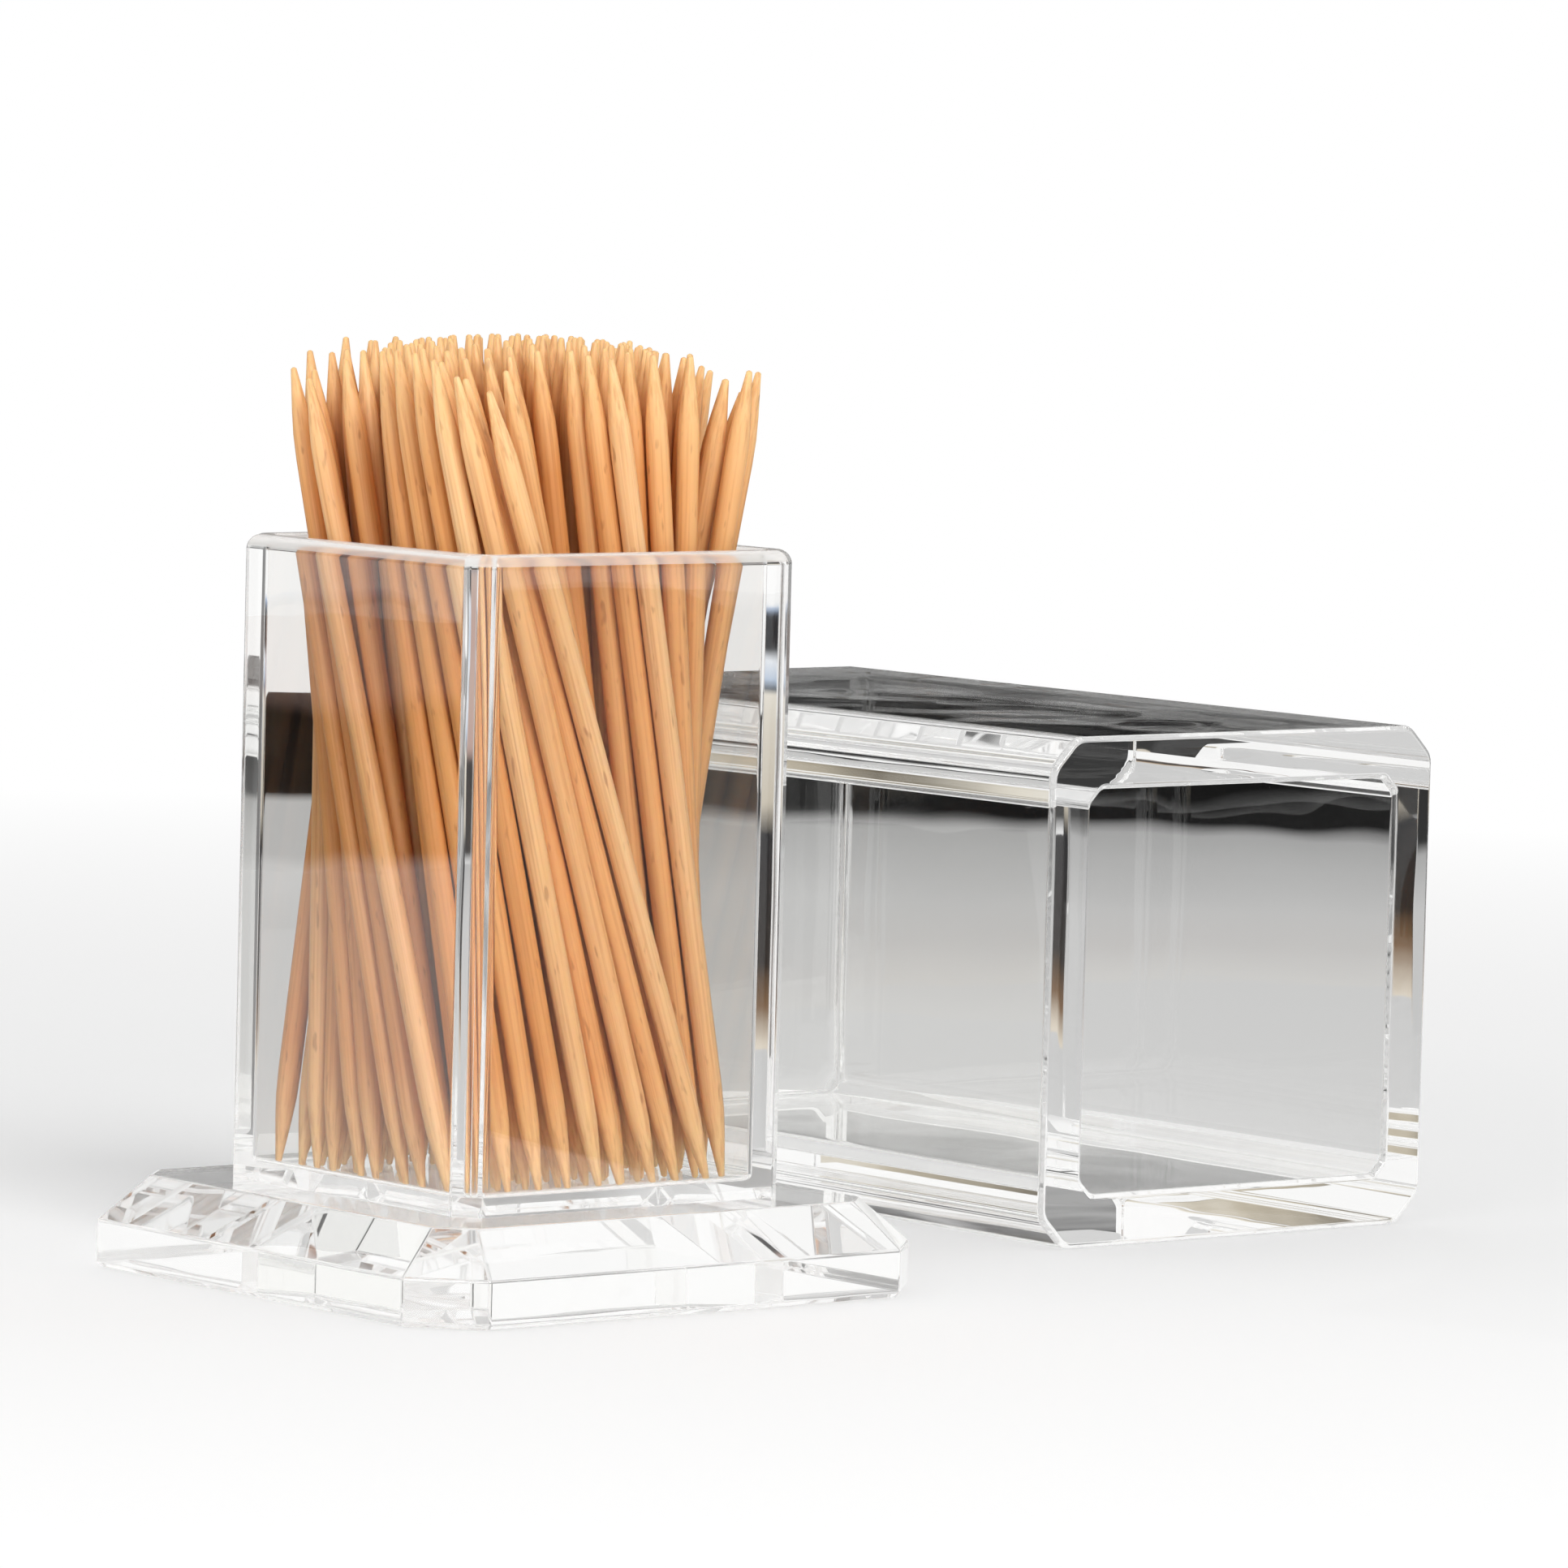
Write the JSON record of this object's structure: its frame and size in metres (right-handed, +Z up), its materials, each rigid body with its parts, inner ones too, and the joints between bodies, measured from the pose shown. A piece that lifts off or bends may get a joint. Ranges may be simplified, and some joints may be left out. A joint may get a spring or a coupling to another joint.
{
  "type": "toothpick dispenser",
  "caption": "Clear square toothpick holder: a bevelled plinth with a square cup full of pointed bamboo picks, and a thick-walled lift-off cover lying beside it.",
  "frame": {"origin": "centre of the plinth's underside, on the surface the holder stands on", "axes": "+Z up, -Y the holder's front, +X to the right, where the cover lies on its side with its open end to the front"},
  "size_m": [0.1115, 0.0875, 0.0717],
  "materials": {
    "clear_plinth": "clear polished acrylic",
    "clear_cup": "clear polished acrylic",
    "clear_cover": "clear polished acrylic",
    "bamboo": "bare bamboo, fine lengthwise grain"
  },
  "bodies": {
    "holder": {"plinth": "clear_plinth", "cup": "clear_cup"},
    "picks": {"picks_ring_1_back": "bamboo", "picks_ring_1_front": "bamboo", "picks_ring_1_left": "bamboo", "picks_ring_1_right": "bamboo", "picks_ring_2_back": "bamboo", "picks_ring_2_front": "bamboo", "picks_ring_2_left": "bamboo", "picks_ring_2_right": "bamboo", "picks_ring_3_back": "bamboo", "picks_ring_3_front": "bamboo", "picks_ring_3_left": "bamboo", "picks_ring_3_right": "bamboo", "picks_ring_4_back": "bamboo", "picks_ring_4_front": "bamboo", "picks_ring_4_left": "bamboo", "picks_ring_4_right": "bamboo", "picks_ring_5": "bamboo", "picks_ring_6": "bamboo", "picks_ring_7": "bamboo"},
    "cover": {"cover": "clear_cover"}
  },
  "joints": [
    {"name": "picks_lift", "type": "slide", "parent": "holder", "child": "picks", "axis": [0, 0, 1], "range_m": [0, 0.06]},
    {"name": "cover_lift", "type": "slide", "parent": "holder", "child": "cover", "axis": [0, 0, 1], "range_m": [0, 0.09]}
  ]
}
